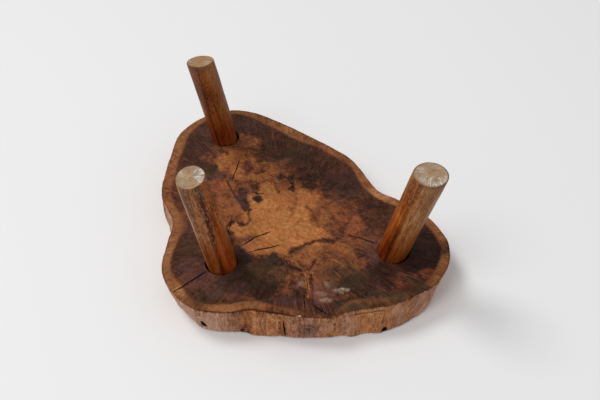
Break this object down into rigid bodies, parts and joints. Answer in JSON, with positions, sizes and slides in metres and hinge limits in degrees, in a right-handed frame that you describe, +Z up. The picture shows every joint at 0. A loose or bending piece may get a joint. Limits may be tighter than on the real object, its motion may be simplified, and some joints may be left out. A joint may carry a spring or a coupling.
{
  "type": "milking stool",
  "caption": "Low rustic milking stool: a thick, irregular slice of tree trunk as the seat, on splayed round legs that run through it and are wedged at its face.",
  "frame": {"origin": "on the floor, under the middle of the seat's overall width and depth", "axes": "+Z up from the floor to the seat's face; +X to the side with two legs; +Y to the seat's narrow back lobe"},
  "size_m": [0.415, 0.405, 0.21],
  "materials": {
    "seat_wood": "satin, oiled dark end grain with a paler sapwood edge",
    "leg_wood": "satin, worn varnish over long grain",
    "wedge_wood": "matte, pale end grain"
  },
  "bodies": {
    "root": {"seat_slab": "seat_wood", "leg_back_right": "leg_wood", "leg_front_right": "leg_wood", "leg_left": "leg_wood", "wedge_back_right": "wedge_wood", "wedge_front_right": "wedge_wood", "wedge_left": "wedge_wood"}
  },
  "joints": []
}
